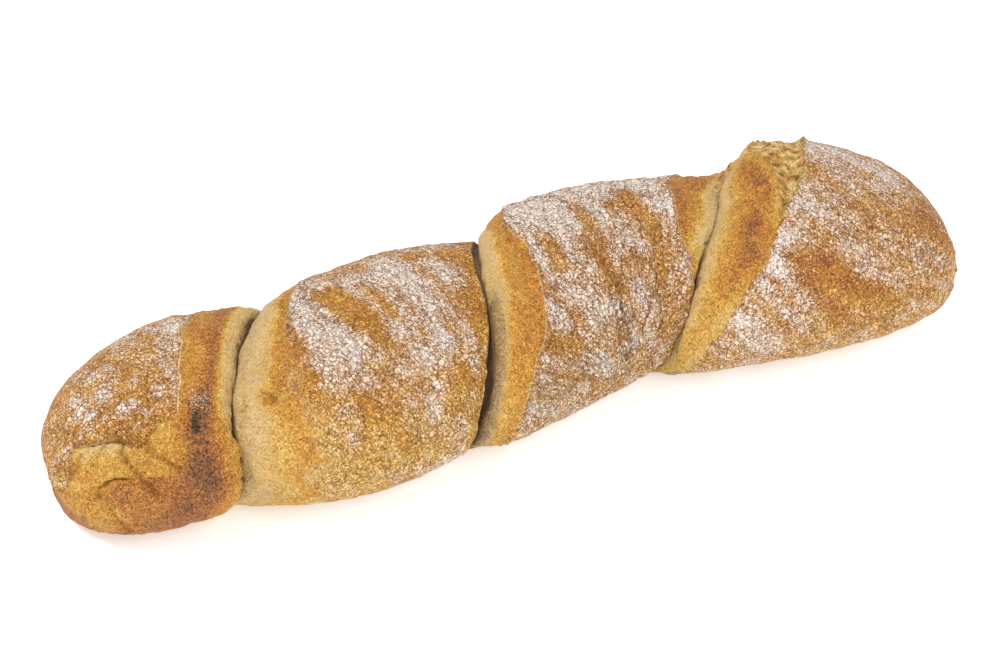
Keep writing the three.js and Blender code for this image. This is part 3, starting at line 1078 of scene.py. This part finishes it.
TOAST_COLOURS = (
    # from pale dough to burnt crust
    (0.00, (0.70, 0.51, 0.28)),
    (0.16, (0.77, 0.52, 0.20)),
    (0.30, (0.72, 0.425, 0.094)),
    (0.44, (0.62, 0.308, 0.056)),
    (0.58, (0.54, 0.228, 0.042)),
    (0.72, (0.39, 0.145, 0.042)),
    (0.86, (0.22, 0.095, 0.040)),
    (1.00, (0.07, 0.040, 0.022)),
)
CRUMB_COLOURS_WITH_PORE_SHADE = (
    # from the bottom of a pore, painted darker as shade, to the walls between the pores
    (0.34, (0.26, 0.105, 0.024)),
    (0.41, (0.50, 0.26, 0.055)),
    (0.54, (0.70, 0.43, 0.14)),
    (0.66, (0.88, 0.67, 0.34)),
)
FLOUR_COLOUR = (0.90, 0.79, 0.70, 1)
THIN_FLOUR_COLOUR = (0.84, 0.62, 0.42, 1)
SKIN_EDGE_COLOUR = (0.88, 0.70, 0.44, 1)
CRACK_COLOUR = (0.22, 0.080, 0.024, 1)
# painted shade for the bottoms of the grooves and the small hole
GROOVE_SHADE_COLOUR = (0.34, 0.135, 0.026, 1)
GLINT_COLOUR = (0.95, 0.68, 0.32, 1)
# grey-brown of the crease bottoms, darkened as painted shade
CREASE_GREY_AND_SHADE_COLOUR = (0.24, 0.145, 0.075, 1)
FLAKE_SIZE = 0.0019
FLAKE_BEND = 0.0020
BUMP_HEIGHT = 0.0010
CRUST_IOR = 1.25  # a weak gloss, as on dry crust

finish = Finish("baked_crust")
place = finish.node("ShaderNodeTexCoord", {}, out=3)
stream = finish.attribute("flow", vector=True)
skin_in = finish.attribute("skin")
flour_in = finish.attribute("flour")
toast_in = finish.attribute("toast")
crumb_in = finish.attribute("crumb")
comb_in = finish.attribute("comb")
groove_shade_in = finish.attribute("furrow")
crease_grey_and_shade_in = finish.attribute("dim")
rim_in = finish.attribute("rim")

# Noise from half a fingernail down to a grain of flour, and marks drawn out along the streaks.
blotch = finish.spread_noise(place, 0.0050, 3, 0.5, 4.0)
fleck = finish.spread_noise(place, 0.0021, 3, 0.6, 5.0)
grain = finish.spread_noise(place, 0.0012, 3, 0.75, 5.5)
dust = finish.spread_noise(place, 0.00062, 1, 0.6, 5.5)
short_way = finish.vector_math("MULTIPLY", stream, (1, 0.2, 1))
combed = finish.spread_noise(short_way, 0.0020, 3, 0.6, 5.0) * comb_in

# The floured skin is crazed into flakes, which are the cells of a bent Voronoi pattern. Finer
# cracks wander over them, and long ones follow the streaks.
bend = finish.noise(place, 0.0016, 2, colour=True)
bent = finish.vector_math("MULTIPLY_ADD", bend, (FLAKE_BEND,) * 3, place)
flake = finish.node("ShaderNodeTexVoronoi", {}, Vector=bent, Scale=1 / FLAKE_SIZE, out=1)
flake = (finish.node("ShaderNodeSeparateColor", {}, flake) - 0.5) * 2
to_edge = {"feature": "DISTANCE_TO_EDGE"}
edge = finish.node("ShaderNodeTexVoronoi", to_edge, Vector=bent, Scale=1 / FLAKE_SIZE)
cracks = (1 - edge.rise(0.01, 0.12)) * (0.85 + blotch * 0.5).clamp()
cracks = cracks.math("MAXIMUM", finish.lines(place, 0.0013, 1, 0.024) * 0.45)
long_way = finish.vector_math("MULTIPLY", stream, (1, 0.22, 1))
long_cracks = comb_in.math("MINIMUM", 1) * finish.lines(long_way, 0.0026, 2, 0.026)
cracks = cracks.math("MAXIMUM", long_cracks)

# How much flour covers each spot: on the skin it breaks at the cracks, and on bare dough only
# single grains of it stick.
on_skin = (skin_in + blotch * 0.4 + fleck * 0.4).rise(-0.3, 0.3)
cover = flour_in + combed * 0.14 + fleck * 0.14 + flake * 0.10 + grain * 0.13 + dust * 0.18
cover = (cover - cracks * 0.22).rise(0.06, 0.96) * 0.94 * on_skin
dusting = (flour_in + grain * 0.10 + dust * 0.36).rise(0.30, 0.85) * 0.32
cover = cover + dusting * (1 - on_skin)

# Crust, with less contrast from the grain where it is dark, then flour. Thin flour lets the
# crust's warm colour through.
grit = (fleck * 0.09 + grain * 0.11 + dust * 0.09) * (1.15 - toast_in)
tone = toast_in + blotch * 0.04 + flake * on_skin * 0.05 - grit
crust_colour = finish.node("ShaderNodeValToRGB", {"stops": TOAST_COLOURS}, tone)
glints = (dust * 0.6 + grain * 0.4).rise(0.2, 0.9) * (0.05 + flour_in * 0.40)
crust_colour = finish.mix_colours(glints, crust_colour, GLINT_COLOUR)
thickness = (flour_in + cover * 0.2).rise(0.30, 1.05)
flour_colour = finish.mix_colours(thickness, THIN_FLOUR_COLOUR, FLOUR_COLOUR)
crust_colour = finish.mix_colours(cover, crust_colour, flour_colour)

# Dark lines: the cracks, and painted shade in the grooves. Then the pale torn edge of the skin,
# the grey-brown bottoms of the creases with painted shade and shadow, and the open crumb with its
# pores, whose bottoms are painted dark as shade.
crust_colour = finish.mix_colours(cracks * (0.05 + on_skin * 0.72), crust_colour, CRACK_COLOUR)
# painted shade in the grooves and the small hole
crust_colour = finish.mix_colours(groove_shade_in * 0.62, crust_colour, GROOVE_SHADE_COLOUR)
edge_line = 1 - (skin_in + fleck * 0.25).math("ABSOLUTE").rise(0.12, 0.42)
crust_colour = finish.mix_colours(edge_line * rim_in, crust_colour, SKIN_EDGE_COLOUR)
# painted shade and shadow in the creases, over the grey-brown of pinched dough
grey_and_painted_shade = (crease_grey_and_shade_in * 1.5 + grain * 0.30 + dust * 0.25 - 0.60) * crease_grey_and_shade_in.rise(0.02, 0.35)
crust_colour = finish.mix_colours(grey_and_painted_shade.rise(-0.1, 0.8), crust_colour, CREASE_GREY_AND_SHADE_COLOUR)
# the crumb's colour, with the bottoms of its pores painted darker as shade
pores = finish.noise(place, 0.0034, 3)
crumb_colour_and_pore_shade = finish.node("ShaderNodeValToRGB", {"stops": CRUMB_COLOURS_WITH_PORE_SHADE}, pores + dust * 0.02)
in_crumb = (crumb_in * 1.3 + fleck * 0.25 + grain * 0.15).rise(0.35, 0.8)
crust_colour = finish.mix_colours(in_crumb, crust_colour, crumb_colour_and_pore_shade)

# The same grain lightens and darkens the whole: strongly on the skin and where it is brown.
speckle = grain * 0.23 + dust * 0.27 + fleck * 0.12 + combed * 0.11
bare_weight = 0.45 + (toast_in - 0.20).math("MAXIMUM", 0) * 1.7
weight = bare_weight * (1 - on_skin) + on_skin * 1.45
shade = (1.01 + on_skin * 0.22 + speckle * weight + blotch * 0.05).math("MAXIMUM", 0.3)
crust_colour = finish.vector_math("SCALE", crust_colour, Scale=shade)

bumps = (1 - cracks) * on_skin * 0.55 + grain * 0.3 + dust * 0.25 + fleck * 0.16
bumps = bumps + pores * in_crumb * 0.6 + cover * 0.2 + combed * on_skin * 0.12
normal = finish.node("ShaderNodeBump", {}, Strength=1.0, Distance=BUMP_HEIGHT, Height=bumps)
finish.feed(finish.shader.inputs["Base Color"], crust_colour)
finish.feed(finish.shader.inputs["Roughness"], 0.58 + cover * 0.37 + grain * 0.05)
finish.feed(finish.shader.inputs["Normal"], normal)
finish.shader.inputs["IOR"].default_value = CRUST_IOR
loaf.data.materials.append(finish.material)
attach(loaf, "root")
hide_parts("loaf")
